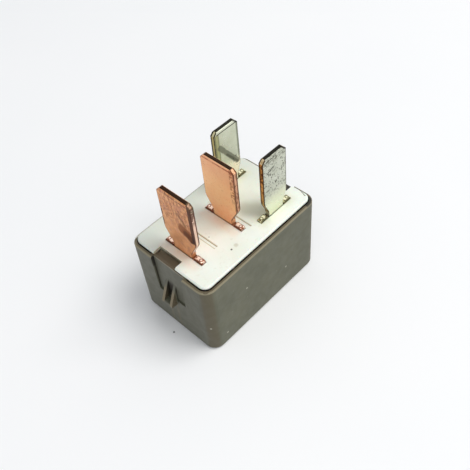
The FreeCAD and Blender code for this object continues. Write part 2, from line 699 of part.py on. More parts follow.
def make_core():
    """Iron rod: pole head, shank through the bobbin, and a tail staked in the yoke."""
    tail_x = YOKE_BACK_X + YOKE_THICKNESS
    centre = lambda x: vec(x, 0, COIL_Z)
    head = rod(CORE_HEAD_R, centre(POLE_X), centre(POLE_X + CORE_HEAD_THICKNESS))
    shank = rod(CORE_R, centre(POLE_X + CORE_HEAD_THICKNESS), centre(YOKE_BACK_X))
    tail = rod(CORE_TAIL_R, centre(YOKE_BACK_X), centre(tail_x + CORE_TAIL_HEAD))
    stake = rod(CORE_TAIL_HEAD_R, centre(tail_x), centre(tail_x + CORE_TAIL_HEAD))
    stake = stake.makeChamfer(CORE_TAIL_HEAD / 2, [stake.Edges[0]])
    return fuse_all([head, shank, tail, stake])


def spring_rivet_places():
    """Where the leaf is riveted under the yoke."""
    x = HINGE_X + LEAF_FOOT - SPRING_RIVET_INSET
    return [(x, side * SPRING_RIVET_SPACING / 2) for side in (-1, 1)]


def make_yoke():
    """L-shaped iron plate under and behind the coil, with a lug for the common terminal."""
    back = YOKE_BACK_X + YOKE_THICKNESS
    top_z = COIL_Z + CORE_TAIL_HEAD_R + YOKE_ABOVE_STAKE
    half = YOKE_HALF_WIDTH
    profile = [
        (HINGE_X, HINGE_Z, 0),
        (back, HINGE_Z, YOKE_THICKNESS + YOKE_BEND_R),
        (back, top_z, 0),
        (YOKE_BACK_X, top_z, 0),
        (YOKE_BACK_X, YOKE_TOP_Z, YOKE_BEND_R),
        (HINGE_X, YOKE_TOP_Z, 0),
    ]
    plate = round_outline(profile, in_long_plane(-half)).extrude(vec(0, 2 * half, 0))
    tab_half = BLADE_THICKNESS / 2 + YOKE_TAB_MARGIN
    tab = block(COMMON_X - tab_half, COMMON_X + tab_half, COMMON_LEG_OUTER_Y, -half, HINGE_Z, YOKE_TOP_Z)
    yoke = fuse_all([plate, tab])
    slot_x = BLADE_THICKNESS / 2 + SEAT
    slot_y = TENON_WIDTH / 2 + SEAT
    middle_y = tenon_y()
    yoke = yoke.cut(block(COMMON_X - slot_x, COMMON_X + slot_x, middle_y - slot_y, middle_y + slot_y,
                          HINGE_Z - OVERCUT, YOKE_TOP_Z + OVERCUT))
    yoke = yoke.cut(drill(CORE_TAIL_R + SEAT, vec(YOKE_BACK_X, 0, COIL_Z), vec(back, 0, COIL_Z)))
    for x, y in spring_rivet_places():
        yoke = yoke.cut(drill(RIVET_SHANK_R + SEAT, vec(x, y, HINGE_Z), vec(x, y, YOKE_TOP_Z)))
    return yoke


# Armature, built closed against the pole and then leaned to its open rest


def opened(shape):
    """The shape turned about the yoke's edge, from closed to open."""
    turned = shape.copy()
    turned.rotate(vec(HINGE_X, 0, HINGE_Z), vec(0, 1, 0), -OPEN_ANGLE)
    return turned


def armature_face_x():
    """Back face of the closed armature, where the leaf lies."""
    return HINGE_X - HINGE_GAP - ARMATURE_THICKNESS


def armature_rivet_places():
    """Where the leaf is riveted to the armature."""
    z = HINGE_Z + ARMATURE_RIVET_RISE
    return [(side * ARMATURE_RIVET_SPACING / 2, z) for side in (-1, 1)]


def make_armature():
    """Iron plate with two ears near its free end."""
    half = ARMATURE_HALF_WIDTH
    ear = half + ARMATURE_EAR
    ear_z = ARMATURE_TOP_Z - ARMATURE_EAR_HEIGHT
    bottom = HINGE_Z + ARMATURE_BOTTOM_RISE
    corners = [
        (-half, bottom, ARMATURE_CORNER_R),
        (half, bottom, ARMATURE_CORNER_R),
        (half, ear_z, ARMATURE_CORNER_R),
        (ear, ear_z, ARMATURE_CORNER_R),
        (ear, ARMATURE_TOP_Z, ARMATURE_CORNER_R),
        (-ear, ARMATURE_TOP_Z, ARMATURE_CORNER_R),
        (-ear, ear_z, ARMATURE_CORNER_R),
        (-half, ear_z, ARMATURE_CORNER_R),
    ]
    face_x = armature_face_x()
    plate = round_outline(corners, in_cross_plane(face_x)).extrude(vec(ARMATURE_THICKNESS, 0, 0))
    for y, z in armature_rivet_places():
        plate = plate.cut(drill(RIVET_SHANK_R + SEAT, vec(face_x, y, z), vec(HINGE_X, y, z)))
    return opened(plate)


def rivet(shank_start, shank_end):
    """A shank with a flat head at its start and a flush far end."""
    along = (shank_end - shank_start).normalize()
    shank = rod(RIVET_SHANK_R, shank_start, shank_end)
    top = rod(RIVET_HEAD_R, shank_start - along * RIVET_HEAD, shank_start)
    return fuse_all([shank, top])


def make_armature_rivet(index):
    """Rivet through leaf and armature, headed on the leaf."""
    y, z = armature_rivet_places()[index]
    leaf_x = armature_face_x() - LEAF_THICKNESS
    return opened(rivet(vec(leaf_x, y, z), vec(HINGE_X - HINGE_GAP, y, z)))


def make_spring_rivet(index):
    """Rivet through leaf and yoke, headed under the leaf."""
    x, y = spring_rivet_places()[index]
    leaf_z = HINGE_Z - LEAF_THICKNESS
    return rivet(vec(x, y, leaf_z), vec(x, y, YOKE_TOP_Z))


def make_contact_spring():
    """Leaf under the yoke, round the hinge and up the armature to the moving contact."""
    lean = math.radians(OPEN_ANGLE)
    outward = (-math.cos(lean), -math.sin(lean))
    upward = (-math.sin(lean), math.cos(lean))
    near = ARMATURE_THICKNESS + HINGE_GAP
    far = near + LEAF_THICKNESS
    top = CONTACT_Z + CONTACT_R + LEAF_END_MARGIN - HINGE_Z
    foot_top = HINGE_Z
    foot_bottom = HINGE_Z - LEAF_THICKNESS

    def on_armature(depth, height):
        x = HINGE_X + outward[0] * depth + upward[0] * height
        z = HINGE_Z + outward[1] * depth + upward[1] * height
        return x, z

    def meets_level(depth, level):
        height = (level - HINGE_Z - outward[1] * depth) / upward[1]
        return on_armature(depth, height)

    foot_end = HINGE_X + LEAF_FOOT
    inside = LEAF_BEND_R
    outside = LEAF_BEND_R + LEAF_THICKNESS
    profile = [
        (foot_end, foot_bottom, 0),
        (foot_end, foot_top, 0),
        meets_level(near + LEAF_BULGE, foot_top) + (inside,),
        on_armature(near + LEAF_BULGE, LEAF_BULGE_TOP) + (inside,),
        on_armature(near, LEAF_LAND) + (outside,),
        on_armature(near, top) + (0,),
        on_armature(far, top) + (0,),
        on_armature(far, LEAF_LAND) + (inside,),
        on_armature(far + LEAF_BULGE, LEAF_BULGE_TOP) + (outside,),
        meets_level(far + LEAF_BULGE, foot_bottom) + (outside,),
    ]
    half = LEAF_HALF_WIDTH
    leaf = round_outline(profile, in_long_plane(-half)).extrude(vec(0, 2 * half, 0))
    for x, y in spring_rivet_places():
        leaf = leaf.cut(drill(RIVET_SHANK_R + SEAT, vec(x, y, foot_bottom), vec(x, y, foot_top)))
    front_x = armature_face_x()
    back_x = front_x - LEAF_THICKNESS
    for y, z in armature_rivet_places():
        leaf = leaf.cut(opened(drill(RIVET_SHANK_R + SEAT, vec(back_x, y, z), vec(front_x, y, z))))
    hole = drill(CONTACT_SHANK_R, vec(back_x, 0, CONTACT_Z), vec(front_x, 0, CONTACT_Z))
    return leaf.cut(opened(hole))


def contact(face_x, side, through):
    """A contact rivet: domed head, shank through its carrier and a flat tail behind it."""
    back_x = face_x - side * CONTACT_HEIGHT
    centre = lambda x: vec(x, 0, CONTACT_Z)
    head = rod(CONTACT_R, centre(back_x), centre(face_x))
    head = head.makeChamfer(CONTACT_HEIGHT / 2, [front_ring(head, face_x)])
    tail_x = back_x - side * through
    shank = rod(CONTACT_SHANK_R, centre(back_x), centre(tail_x))
    tail = rod(CONTACT_TAIL_R, centre(tail_x), centre(tail_x - side * CONTACT_TAIL))
    return fuse_all([head, shank, tail])


def front_ring(disc, x):
    """The round edge of a disc that lies in the plane at x."""
    for edge in disc.Edges:
        if abs(edge.BoundBox.XMin - x) < 1e-6 and abs(edge.BoundBox.XMax - x) < 1e-6:
            return edge
    return None


def make_fixed_contact():
    """Contact on the load terminal's leg, facing the latch end."""
    return contact(LOAD_FACE_X - CONTACT_HEIGHT, -1, BLADE_THICKNESS)


def make_moving_contact():
    """Contact on the leaf, facing the fixed one across the open gap."""
    leaf_face = armature_face_x()
    return opened(contact(leaf_face + CONTACT_HEIGHT, 1, LEAF_THICKNESS))


# Suppression resistor, between the two coil terminals


def resistor_centre_y():
    """Halfway between the coil terminals."""
    return sum(COIL_TERMINAL_Y) / 2


def make_resistor_body():
    """Round body with a slightly larger cap at each end."""
    y = resistor_centre_y()
    half = RESISTOR_LENGTH / 2
    at = lambda dy: vec(COIL_X, y + dy, RESISTOR_Z)
    shapes = [rod(RESISTOR_R - RESISTOR_CAP_STEP, at(-half), at(half))]
    for side in (-1, 1):
        shapes.append(rod(RESISTOR_R, at(side * half), at(side * (half - RESISTOR_CAP_LENGTH))))
    return fuse_all(shapes)


def make_resistor_lead(index):
    """Straight lead from a cap through its coil terminal."""
    side = (-1, 1)[index]
    start = resistor_centre_y() + side * RESISTOR_LENGTH / 2
    end = COIL_TERMINAL_Y[index] + side * (BLADE_THICKNESS / 2 + RESISTOR_LEAD_END)
    return rod(RESISTOR_LEAD_R, vec(COIL_X, start, RESISTOR_Z), vec(COIL_X, end, RESISTOR_Z))


def build_parts():
    """Every piece by its name."""
    return {
        "case": make_case(),
        "base": make_base(),
        "load_terminal": make_load_terminal(),
        "common_terminal": make_common_terminal(),
        "coil_terminal_near": make_coil_terminal(COIL_TERMINAL_Y[0]),
        "coil_terminal_far": make_coil_terminal(COIL_TERMINAL_Y[1]),
        "bobbin": make_bobbin(),
        "coil_winding": make_coil_winding(),
        "core": make_core(),
        "yoke": make_yoke(),
        "armature": make_armature(),
        "armature_rivet_left": make_armature_rivet(0),
        "armature_rivet_right": make_armature_rivet(1),
        "contact_spring": make_contact_spring(),
        "spring_rivet_left": make_spring_rivet(0),
        "spring_rivet_right": make_spring_rivet(1),
        "fixed_contact": make_fixed_contact(),
        "moving_contact": make_moving_contact(),
        "resistor_body": make_resistor_body(),
        "resistor_lead_near": make_resistor_lead(0),
        "resistor_lead_far": make_resistor_lead(1),
    }


os.makedirs("parts", exist_ok=True)
for name, shape in build_parts().items():
    shape.exportStep("parts/" + name + ".step")
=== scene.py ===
import math
from functools import cached_property

import bpy
from mathutils import Matrix, Vector


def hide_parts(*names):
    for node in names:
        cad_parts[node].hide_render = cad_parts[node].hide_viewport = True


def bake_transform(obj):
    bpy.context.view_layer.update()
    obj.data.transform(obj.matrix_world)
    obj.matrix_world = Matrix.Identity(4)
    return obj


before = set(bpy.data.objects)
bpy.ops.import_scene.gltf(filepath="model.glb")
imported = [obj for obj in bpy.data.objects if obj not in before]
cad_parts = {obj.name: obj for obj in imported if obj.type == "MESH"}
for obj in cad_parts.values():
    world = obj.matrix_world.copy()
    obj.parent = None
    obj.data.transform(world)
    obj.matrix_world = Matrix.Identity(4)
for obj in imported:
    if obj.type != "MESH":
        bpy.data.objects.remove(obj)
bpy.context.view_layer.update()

MM = 0.001


# ---------------------------------------------------------------- places on the relay, in mm

CASE_TOP_Z = 14.7
BASE_TOP_Z = 15.3
TIP_Z = 26.95
NEAR_SIDE_Y = -8.125
RIM_INSIDE_X, RIM_INSIDE_Y = 11.76, 7.65
RECESS_WALL_X, RECESS_HALF_WIDTH = 11.7, 3.7
NOTCH_BACK_X, NOTCH_MOUTH_X, NOTCH_HALF_WIDTH = 9.9, 11.5, 4.4
SKIRT_Z = 14.3
LUG_Y, LUG_HALF_WIDTH, LUG_RIB = 0.2, 1.15, 0.85
LOAD_X, COMMON_X = -8.3414, -0.0514
BLADE_Y = -0.24
COIL_X, COIL_STEP = 5.9086, 4.64
BLADE_HALF_THICK = 0.4
SLOT_HALF_THICK, CONTACT_SLOT_HALF, COIL_SLOT_HALF = 0.46, 3.82, 3.42
GROOVE_PAIR_X, GROOVE_PAIR_GAP = LOAD_X + 3.25, 0.27
SINGLE_GROOVE_X = COMMON_X + 1.32
COIL_BEVEL_Z = 26.33

# A noise seldom leaves this range, so finishes vary between its two ends
NOISE_LOW, NOISE_HIGH = 0.3, 0.7


# ---------------------------------------------------------------- camera

FOCAL_LENGTH = 47.06
SENSOR_WIDTH = 36.0
CLIP_START, CLIP_END = 0.002, 20
CAMERA_PLACE = Vector((-40.92, -47.47, 83.59)) * MM
CAMERA_RIGHT = Vector((0.68121, -0.72834, -0.07394))
CAMERA_UP = Vector((0.5878, 0.4840, 0.6483))


def set_camera():
    lens = bpy.data.cameras.new("camera")
    lens.lens = FOCAL_LENGTH
    lens.sensor_width = SENSOR_WIDTH
    lens.sensor_fit = "HORIZONTAL"
    lens.clip_start = CLIP_START
    lens.clip_end = CLIP_END
    right = CAMERA_RIGHT.normalized()
    back = right.cross(CAMERA_UP).normalized()
    up = back.cross(right)
    camera = bpy.data.objects.new("camera", lens)
    turn = Matrix((right, up, back)).transposed()
    camera.matrix_world = Matrix.Translation(CAMERA_PLACE) @ turn.to_4x4()
    bpy.context.scene.collection.objects.link(camera)
    bpy.context.scene.camera = camera


# ---------------------------------------------------------------- node helpers


def srgb(red, green, blue):
    """A colour read off in 0 to 255, as the shader wants it."""
    out = []
    for value in (red, green, blue):
        v = value / 255
        out.append(v / 12.92 if v <= 0.04045 else ((v + 0.055) / 1.055) ** 2.4)
    return tuple(out)


class Finish:
    """One procedural material, built node by node on Object coordinates. Sizes are in mm."""

    def __init__(self, name):
        self.material = bpy.data.materials.new(name)
        self.material.use_nodes = True
        self.nodes = self.material.node_tree.nodes
        self.links = self.material.node_tree.links
        self.shader = self.nodes["Principled BSDF"]
        coordinates = self.nodes.new("ShaderNodeTexCoord")
        self.place = coordinates.outputs["Object"]
        self.normal = coordinates.outputs["Normal"]

    # What the shader gets

    def set(self, **values):
        for socket, value in values.items():
            self.shader.inputs[socket.replace("_", " ")].default_value = value

    def feed(self, socket, source):
        self.links.new(source, self.shader.inputs[socket])

    def bump(self, height, depth_mm, strength=1.0):
        node = self.nodes.new("ShaderNodeBump")
        node.inputs["Strength"].default_value = strength
        node.inputs["Distance"].default_value = depth_mm * MM
        self.links.new(height, node.inputs["Height"])
        self.feed("Normal", node.outputs["Normal"])

    # Where a point is and which way it faces

    def split(self, source):
        node = self.nodes.new("ShaderNodeSeparateXYZ")
        self.links.new(source, node.inputs[0])
        return {axis: node.outputs[axis] for axis in "XYZ"}

    @cached_property
    def at(self):
        """The place along each of the piece's own axes, in metres."""
        return self.split(self.place)

    @cached_property
    def leans(self):
        """How far the surface faces each of those axes, 0 to 1, whichever way."""
        facing = self.split(self.normal)
        return {axis: self.maths("ABSOLUTE", facing[axis]) for axis in "XYZ"}

    def stretched(self, scale=(1, 1, 1), turn=(0, 0, 0), shift=(0, 0, 0)):
        node = self.nodes.new("ShaderNodeMapping")
        node.inputs["Scale"].default_value = scale
        node.inputs["Rotation"].default_value = turn
        node.inputs["Location"].default_value = shift
        self.links.new(self.place, node.inputs["Vector"])
        return node.outputs["Vector"]

    # Patterns

    def noise(self, size_mm, detail=4, rough=0.55, place=None, twist=0.0):
        node = self.nodes.new("ShaderNodeTexNoise")
        node.inputs["Scale"].default_value = 1000 / size_mm
        node.inputs["Detail"].default_value = detail
        node.inputs["Roughness"].default_value = rough
        node.inputs["Distortion"].default_value = twist
        self.links.new(place or self.place, node.inputs["Vector"])
        return node.outputs["Fac"]

    def cells(self, size_mm):
        node = self.nodes.new("ShaderNodeTexVoronoi")
        node.inputs["Scale"].default_value = 1000 / size_mm
        self.links.new(self.place, node.inputs["Vector"])
        return node.outputs["Distance"]

    def bands(self, size_mm, twist):
        """Even bands across X, each one size wide. A wave node turns 20 radians in a unit."""
        node = self.nodes.new("ShaderNodeTexWave")
        node.wave_type = "BANDS"
        node.bands_direction = "X"
        node.inputs["Scale"].default_value = 2 * math.pi / 20 * 1000 / size_mm
        node.inputs["Distortion"].default_value = twist
        self.links.new(self.place, node.inputs["Vector"])
        return node.outputs["Fac"]

    def patches(self, size_mm, low, high, least=0.0, detail=4, **noise):
        """Irregular patches: a noise cut off between two of its values."""
        return self.span(self.noise(size_mm, detail, **noise), low, high, least, 1.0)

    def satin(self, size_mm, low, high):
        """A roughness that wanders between two values."""
        return self.span(self.noise(size_mm), NOISE_LOW, NOISE_HIGH, low, high)

    def wander(self, size_mm, detail, rough, less):
        """What a stroke's edge wanders by."""
        return self.maths("SUBTRACT", self.noise(size_mm, detail, rough), less)

    # Sums

    def fill(self, node, values):
        """Links or sets a node's sockets, one value each."""
        for socket, value in values.items():
            if isinstance(value, bpy.types.NodeSocket):
                self.links.new(value, node.inputs[socket])
            else:
                node.inputs[socket].default_value = value

    def maths(self, how, *values):
        node = self.nodes.new("ShaderNodeMath")
        node.operation = how
        self.fill(node, dict(enumerate(values)))
        return node.outputs[0]

    def vectors(self, how, *values):
        node = self.nodes.new("ShaderNodeVectorMath")
        node.operation = how
        self.fill(node, dict(enumerate(values)))
        return node.outputs

    def span(self, source, low, high, to_low=0.0, to_high=1.0):
        """Goes smoothly from one value to another while the source goes from low to high."""
        node = self.nodes.new("ShaderNodeMapRange")
        node.interpolation_type = "SMOOTHSTEP"
        node.inputs["From Min"].default_value = low
        node.inputs["From Max"].default_value = high
        node.inputs["To Min"].default_value = to_low
        node.inputs["To Max"].default_value = to_high
        self.links.new(source, node.inputs["Value"])
        return node.outputs["Result"]

    # Masks, 0 to 1

    def both(self, *masks):
        """1 where all masks are 1."""
        out = masks[0]
        for mask in masks[1:]:
            out = self.maths("MULTIPLY", out, mask)
        return out

    def fade(self, source, none_at, full_at):
        """Rises from 0 at one place to 1 at the other."""
        return self.span(source, none_at * MM, full_at * MM)

    def above(self, source, at, soft):
        """1 above a value, 0 below it, with a soft step."""
        return self.fade(source, at - soft, at + soft)

    def off(self, source, middle):
        """How far a place is from a value, whichever way."""
        return self.maths("ABSOLUTE", self.maths("SUBTRACT", source, middle * MM))

    def near(self, source, middle, half, soft):
        """1 within half of a value, fading out over soft."""
        return self.span(self.off(source, middle), half * MM, (half + soft) * MM, 1.0, 0.0)

    def faces(self, axis, low, high):
        """Rises from 0 to 1 as the surface's lean to an axis goes from low to high."""
        return self.span(self.leans[axis], low, high)

    def inward(self):
        """1 where an upright wall faces the piece's own middle, 0 where it faces out."""
        flat = self.vectors("MULTIPLY", self.normal, (1, 1, 0))[0]
        return self.fade(self.vectors("DOT_PRODUCT", flat, self.place)["Value"], -1, -2)

    def outline(self, radius_mm):
        """1 along sharp edges, found by how far a rounded normal leans off the face's own."""
        rounded = self.nodes.new("ShaderNodeBevel")
        rounded.samples = 6
        rounded.inputs["Radius"].default_value = radius_mm * MM
        own = self.nodes.new("ShaderNodeNewGeometry").outputs["True Normal"]
        return self.span(self.vectors("DOT_PRODUCT", rounded.outputs[0], own)["Value"], 0.97, 0.88)

    def stroke(self, start, end, half, soft, wander=None):
        """A mark along a line between two points, such as a scratch."""
        start = Vector(start) * MM
        along = Vector(end) * MM - start
        offset = self.vectors("SUBTRACT", self.place, start)[0]
        if along.length > 0:
            share = self.vectors("DOT_PRODUCT", offset, along / along.length_squared)["Value"]
            share = self.maths("MINIMUM", self.maths("MAXIMUM", share, 0.0), 1.0)
            scaled = self.nodes.new("ShaderNodeVectorMath")
            scaled.operation = "SCALE"
            self.fill(scaled, {0: along, "Scale": share})
            offset = self.vectors("SUBTRACT", offset, scaled.outputs[0])[0]
        away = self.vectors("LENGTH", offset)["Value"]
        if wander:
            away = self.maths("ADD", away, self.maths("MULTIPLY", wander, 2 * half * MM))
            half = 2 * half
        return self.span(away, half * MM, (half + soft) * MM, 1.0, 0.0)

    def spot(self, point, half, soft):
        return self.stroke(point, point, half, soft)

    # Colours

    def ramp(self, source, low, low_colour, high, high_colour):
        node = self.nodes.new("ShaderNodeValToRGB")
        stops = ((low, low_colour), (high, high_colour))
        for point, (at, colour) in zip(node.color_ramp.elements, stops):
            point.position = at
            point.color = tuple(colour) + (1,)
        self.links.new(source, node.inputs["Fac"])
        return node.outputs["Color"]

    def coats(self, colour, *layers):
        """Paints layers over a colour in turn: a mask, a colour in 0 to 255 and its strength."""
        for mask, over, strength in layers:
            node = self.nodes.new("ShaderNodeMix")
            node.data_type = "RGBA"
            amount = self.maths("MULTIPLY", mask, strength)
            self.fill(node, {0: amount, 6: colour, 7: srgb(*over) + (1,)})
            colour = node.outputs[2]
        return colour


# ---------------------------------------------------------------- case and base


def case_plastic():
    """Gray-brown plastic, with the rim, the recesses and the latch lug picked out."""
    f = Finish("case_plastic")
    x, y, z = (f.at[axis] for axis in "XYZ")
    colour = f.ramp(f.noise(4.0, 3), 0.35, srgb(91, 92, 75), 0.65, srgb(99, 99, 81))

    # Broad tints: painted sheen, grayer on the end faces and browner on the rounded upright
    # corners where less sheen shows; darker towards the far end
    far_half = f.fade(x, 0.0, 12)
    corner = f.span(f.maths("MULTIPLY", f.leans["X"], f.leans["Y"]), 0.12, 0.42)
    colour = f.coats(
        colour,
        (f.faces("X", 0.7, 0.95), (96, 95, 83), 0.8),
        (far_half, (86, 86, 70), 0.5),
        (corner, (92, 84, 64), 0.8),
    )

    # The rim: its top; painted highlights on the rounded edge outside, on the far side's rim and
    # along the recess's top edge; the heads of the end walls, painted darker as shade, with a
    # painted lit patch and a paler lip; the far head painted dark as shadow
    rim_top = f.both(f.above(z, CASE_TOP_Z - 0.12, 0.05), f.faces("Z", 0.5, 0.8))
    slanted = f.maths("ABSOLUTE", f.maths("SUBTRACT", f.leans["Z"], 0.6))
    # Painted highlight along the rounded outer edge
    rim_highlight = f.both(f.above(z, CASE_TOP_Z - 0.3, 0.05), f.span(slanted, 0.18, 0.3, 1.0, 0.0))
    # Painted highlight on the far side's rim
    far_rim_highlight = f.both(rim_top, f.above(y, 7.4, 0.1))
    inside_x = f.near(x, 0, RIM_INSIDE_X, 0.04)
    # The heads' tops are painted darker as shade
    head = f.both(inside_x, f.near(y, 0, RIM_INSIDE_Y, 0.04), rim_top)
    # Painted light on a lit part of the near head
    bright = f.both(head, f.fade(x, -10.7, -10.2), f.above(y, 2.6, 0.9))
    lip = f.both(head, f.fade(x, -11.1, -11.45), f.patches(0.9, 0.35, 0.6, 0.5, detail=3))
    upright = f.faces("Z", 0.6, 0.3)
    # Painted highlight along the recess's top edge
    crest_highlight = f.both(
        f.above(z, CASE_TOP_Z - 0.3, 0.06),
        upright,
        f.faces("X", 0.6, 0.9),
        f.fade(x, -11.5, -11.6),
        f.near(y, 0, RECESS_HALF_WIDTH - 0.3, 0.1),
    )
    # The far head painted dark as shadow
    shaded_far_head = f.both(rim_top, inside_x, f.above(x, NOTCH_BACK_X, 0.1))
    colour = f.coats(
        colour,
        (rim_top, (96, 87, 66), 1.0),
        (rim_highlight, (142, 134, 110), 0.8),
        (far_rim_highlight, (196, 197, 182), 0.85),
        (head, (86, 75, 56), 1.0),
        (bright, (128, 122, 100), 0.8),
        (lip, (102, 94, 76), 0.8),
        (crest_highlight, (134, 126, 108), 0.85),
        (shaded_far_head, (40, 38, 29), 0.95),
    )

    # Painted shade on the recesses' side walls, on the lug's sides, in the pocket between its ribs
    # and in the gap inside the rim; painted light on the ribs' fronts
    # Painted shade on the recesses' side walls
    shaded_recess_wall = f.both(
        f.faces("Y", 0.5, 0.8),
        f.near(f.off(x, 0), RECESS_WALL_X, 0.3, 0.1),
        f.near(y, 0, RECESS_HALF_WIDTH, 0.1),
    )
    # Painted shade on the lug's sides
    shaded_lug_sides = f.both(
        f.fade(x, -12.25, -12.35), f.faces("Y", 0.6, 0.85), f.near(y, LUG_Y, LUG_HALF_WIDTH, 0.05)
    )
    # Painted shade in the pocket between the lug's ribs
    shaded_pocket = f.both(
        f.near(y, LUG_Y, 0.6, 0.02), f.near(z, 9.2, 1.0, 1.3), f.fade(x, -11.55, -11.7)
    )
    # Painted light on the ribs' fronts
    lit_rib_fronts = f.both(
        f.near(y, LUG_Y, LUG_HALF_WIDTH, 0.02),
        f.fade(x, -12.05, -12.6),
        f.near(f.off(y, LUG_Y), LUG_RIB, 0.22, 0.05),
    )
    # Painted shade in the gap inside the rim, around the base
    gap_shade = f.both(f.above(z, CASE_TOP_Z - 2.0, 0.1), upright, f.inward())
    colour = f.coats(
        colour,
        (shaded_recess_wall, (52, 47, 36), 0.9),
        (shaded_lug_sides, (70, 58, 38), 0.8),
        (shaded_pocket, (34, 28, 20), 0.85),
        (lit_rib_fronts, (138, 124, 98), 0.75),
        (gap_shade, (30, 26, 19), 1.0),
    )

    # Specks where the photo shows them, and fine dust
    for point in (
        (-9.23, NEAR_SIDE_Y, 2.51),
        (-4.34, NEAR_SIDE_Y, 8.85),
        (-11.79, -7.45, 5.8),
        (4.6, NEAR_SIDE_Y, 5.2),
    ):
        colour = f.coats(colour, (f.spot(point, 0.13, 0.08), (176, 172, 156), 0.8))
    dust = f.span(f.cells(2.3), 0.03, 0.05, 1.0, 0.0)
    colour = f.coats(colour, (dust, (150, 146, 128), 0.35))

    f.feed("Base Color", colour)
    f.feed("Roughness", f.satin(1.2, 0.46, 0.6))
    f.set(Specular_IOR_Level=0.35)
    f.bump(f.noise(0.18, 5, 0.6), 0.012, 0.5)
    return f.material


def base_plastic():
    """Off-white plastic, darker in its slots, grooves and notches."""
    f = Finish("base_plastic")
    x, y, z = (f.at[axis] for axis in "XYZ")
    colour = f.ramp(
        f.noise(5.0, 3), NOISE_LOW, srgb(236, 242, 230), NOISE_HIGH, srgb(243, 248, 238)
    )

    # Broad painted shading: darker towards the far side and in the latch end's far corner
    shaded_latch_corner = f.both(f.fade(x, -7.0, -12.0), f.above(y, 1.0, 4.0))
    colour = f.coats(
        colour,
        (f.fade(y, -4.0, 8.0), (212, 217, 204), 0.8),
        (shaded_latch_corner, (204, 211, 203), 0.7),
    )

    # The slots, painted dark as shade, and the blades' colours thrown on the plastic around them
    # as a painted reflected glow
    for slot_x in (LOAD_X, COMMON_X):
        reflected_glow = f.both(f.near(x, slot_x - 0.9, 0.4, 1.4), f.near(y, BLADE_Y, 3.2, 1.2))
        shaded_slot = f.both(
            f.near(x, slot_x, SLOT_HALF_THICK, 0.1), f.near(y, BLADE_Y, CONTACT_SLOT_HALF, 0.1)
        )
        colour = f.coats(colour, (reflected_glow, (240, 216, 194), 0.4), (shaded_slot, (120, 84, 58), 0.85))
    # The coil slots painted dark as shade, with a painted reflected tint from the tin around them
    for slot_y in (BLADE_Y - COIL_STEP, BLADE_Y + COIL_STEP):
        shaded_slot = f.both(
            f.near(y, slot_y, SLOT_HALF_THICK, 0.1), f.near(x, COIL_X, COIL_SLOT_HALF, 0.1)
        )
        reflected_tint = f.both(f.near(y, slot_y, 0.8, 1.2), f.near(x, COIL_X, 3.4, 1.2))
        colour = f.coats(colour, (shaded_slot, (118, 114, 82), 0.8), (reflected_tint, (226, 228, 190), 0.35))

    # The shade beside the near coil blade
    shade = f.stroke((4.9, -3.6, BASE_TOP_Z), (3.3, -1.6, BASE_TOP_Z), 0.5, 1.8)
    colour = f.coats(colour, (shade, (176, 180, 160), 0.6))

    # The grooves, their wall lines painted darker, then painted shade on the skirt's walls under
    # the rim and on the notches' walls, with painted light where the notch wall is lit
    groove_pair = f.both(
        f.near(f.off(x, GROOVE_PAIR_X), GROOVE_PAIR_GAP, 0.06, 0.08), f.near(y, BLADE_Y, 3.0, 0.1)
    )
    single_groove = f.both(
        f.near(x, SINGLE_GROOVE_X, 0.07, 0.08), f.near(y, BLADE_Y, 4.15, 0.1)
    )
    wall = f.faces("Z", 0.55, 0.3)
    # Painted shade in the gap between the skirt and the rim
    gap_shade = f.both(wall, f.near(z, SKIRT_Z, 0.55, 0.08))
    # Painted shade on the notches' walls
    notch_shade = f.both(
        wall,
        f.above(f.off(x, 0), NOTCH_BACK_X, 0.05),
        f.near(y, -0.2, NOTCH_HALF_WIDTH, 0.05),
        f.fade(f.off(x, 0), NOTCH_MOUTH_X, NOTCH_MOUTH_X - 0.05),
    )
    # Painted light on the lit part of the notch wall
    lit_wall = f.both(notch_shade, f.fade(x, -9, -10), f.above(y, 1.8, 1.0))
    colour = f.coats(
        colour,
        (groove_pair, (186, 176, 142), 0.75),
        (single_groove, (190, 184, 158), 0.7),
        (gap_shade, (34, 29, 20), 1.0),
        (notch_shade, (150, 138, 112), 0.95),
        (lit_wall, (206, 200, 178), 0.9),
    )

    # Specks, the chipped far corner, a pit and general wear
    for point, half in (
        ((-3.92, -5.24, BASE_TOP_Z), 0.12),
        ((-4.32, -1.06, BASE_TOP_Z), 0.05),
        ((11.35, -4.3, 15.2), 0.06),
    ):
        colour = f.coats(colour, (f.spot(point, half, 0.05), (48, 44, 32), 0.95))
    chipped = f.stroke((11.5, -5.3, 15.25), (11.05, -6.7, 15.25), 0.06, 0.06, f.noise(0.5, 3))
    pit = f.spot((-2.89, -5.17, BASE_TOP_Z), 0.2, 0.25)
    worn = f.patches(0.7, 0.56, 0.7, detail=5, rough=0.65)
    colour = f.coats(
        colour,
        (chipped, (70, 64, 50), 0.85),
        (pit, (206, 204, 186), 0.7),
        (worn, (216, 214, 196), 0.3),
    )

    f.feed("Base Color", colour)
    f.feed("Roughness", f.satin(2.5, 0.28, 0.4))
    f.set(Subsurface_Weight=0.1, Subsurface_Scale=0.0006)
    f.bump(f.noise(1.2, 3), 0.01, 0.5)
    return f.material


# ---------------------------------------------------------------- blades

# Per metal: the end face's painted shade, the feet's painted highlight and their dark colour
COPPER = {"tip": (30, 17, 12), "foot_highlight": (255, 226, 206), "foot_dark": (118, 58, 34)}
TIN = {"tip": (24, 22, 16), "foot_highlight": (246, 244, 204), "foot_dark": (82, 76, 34)}
BLADE_SPECULAR = 0.1


